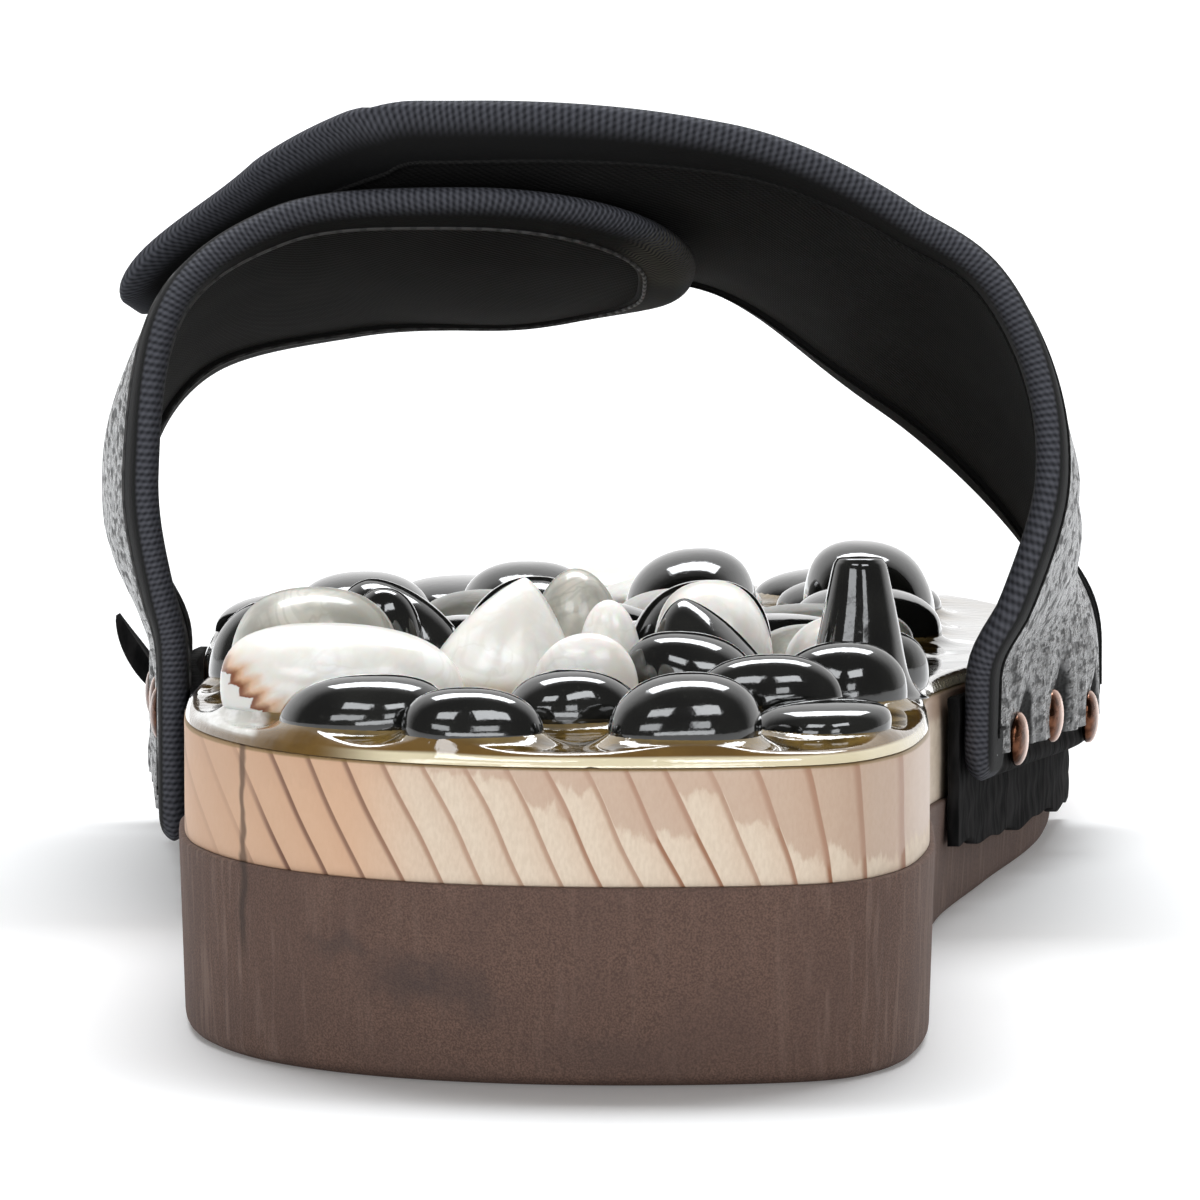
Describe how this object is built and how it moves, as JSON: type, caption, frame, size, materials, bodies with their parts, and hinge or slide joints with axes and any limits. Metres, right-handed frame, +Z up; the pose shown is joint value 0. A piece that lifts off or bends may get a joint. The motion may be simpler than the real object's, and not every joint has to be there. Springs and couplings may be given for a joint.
{
  "type": "massage sandal",
  "caption": "Backless massage sandal: wooden board on a foam wedge outsole, pebbles set in resin, wide instep strap in two halves closed by hook-and-loop.",
  "frame": {"origin": "middle of the whole sandal's base, on the floor", "axes": "+Y from heel to toe, +X to the medial side of a left foot, +Z up"},
  "size_m": [0.1142, 0.268, 0.089],
  "materials": {
    "foam": "matte sanded foam",
    "wood": "sanded softwood",
    "resin": "clear amber gloss",
    "leather": "grained, fabric lined",
    "strip": "wrinkled",
    "copper": "polished copper",
    "black_stone": "polished",
    "white_stone": "polished",
    "grey_stone": "polished"
  },
  "bodies": {
    "root": {"arch_peg": "black_stone", "base_strip_lateral": "strip", "base_strip_medial": "strip", "nail_lateral_1": "copper", "nail_lateral_2": "copper", "nail_lateral_3": "copper", "nail_medial_1": "copper", "nail_medial_2": "copper", "nail_medial_3": "copper", "outsole": "foam", "pebble_01_black": "black_stone", "pebble_02_black": "black_stone", "pebble_03_black": "black_stone", "pebble_04_black": "black_stone", "pebble_05_black": "black_stone", "pebble_06_black": "black_stone", "pebble_07_black": "black_stone", "pebble_08_black": "black_stone", "pebble_09_white": "white_stone", "pebble_10_grey": "grey_stone", "pebble_11_white": "white_stone", "pebble_12_white": "white_stone", "pebble_13_grey": "grey_stone", "pebble_14_black": "black_stone", "pebble_15_black": "black_stone", "pebble_16_white": "white_stone", "pebble_17_black": "black_stone", "pebble_18_black": "black_stone", "pebble_19_black": "black_stone", "pebble_20_black": "black_stone", "pebble_21_grey": "grey_stone", "pebble_22_white": "white_stone", "pebble_23_white": "white_stone", "pebble_24_black": "black_stone", "pebble_25_white": "white_stone", "pebble_26_black": "black_stone", "pebble_27_black": "black_stone", "pebble_28_grey": "grey_stone", "pebble_29_black": "black_stone", "pebble_30_white": "white_stone", "pebble_31_black": "black_stone", "pebble_32_white": "white_stone", "pebble_33_black": "black_stone", "pebble_34_grey": "grey_stone", "pebble_35_black": "black_stone", "pebble_36_grey": "grey_stone", "pebble_37_white": "white_stone", "pebble_38_black": "black_stone", "pebble_39_black": "black_stone", "pebble_40_black": "black_stone", "pebble_41_black": "black_stone", "pebble_42_black": "black_stone", "pebble_43_black": "black_stone", "pebble_44_white": "white_stone", "pebble_45_black": "black_stone", "pebble_46_white": "white_stone", "pebble_47_black": "black_stone", "resin_bed": "resin", "upper": "leather", "wood_board": "wood"}
  },
  "joints": []
}
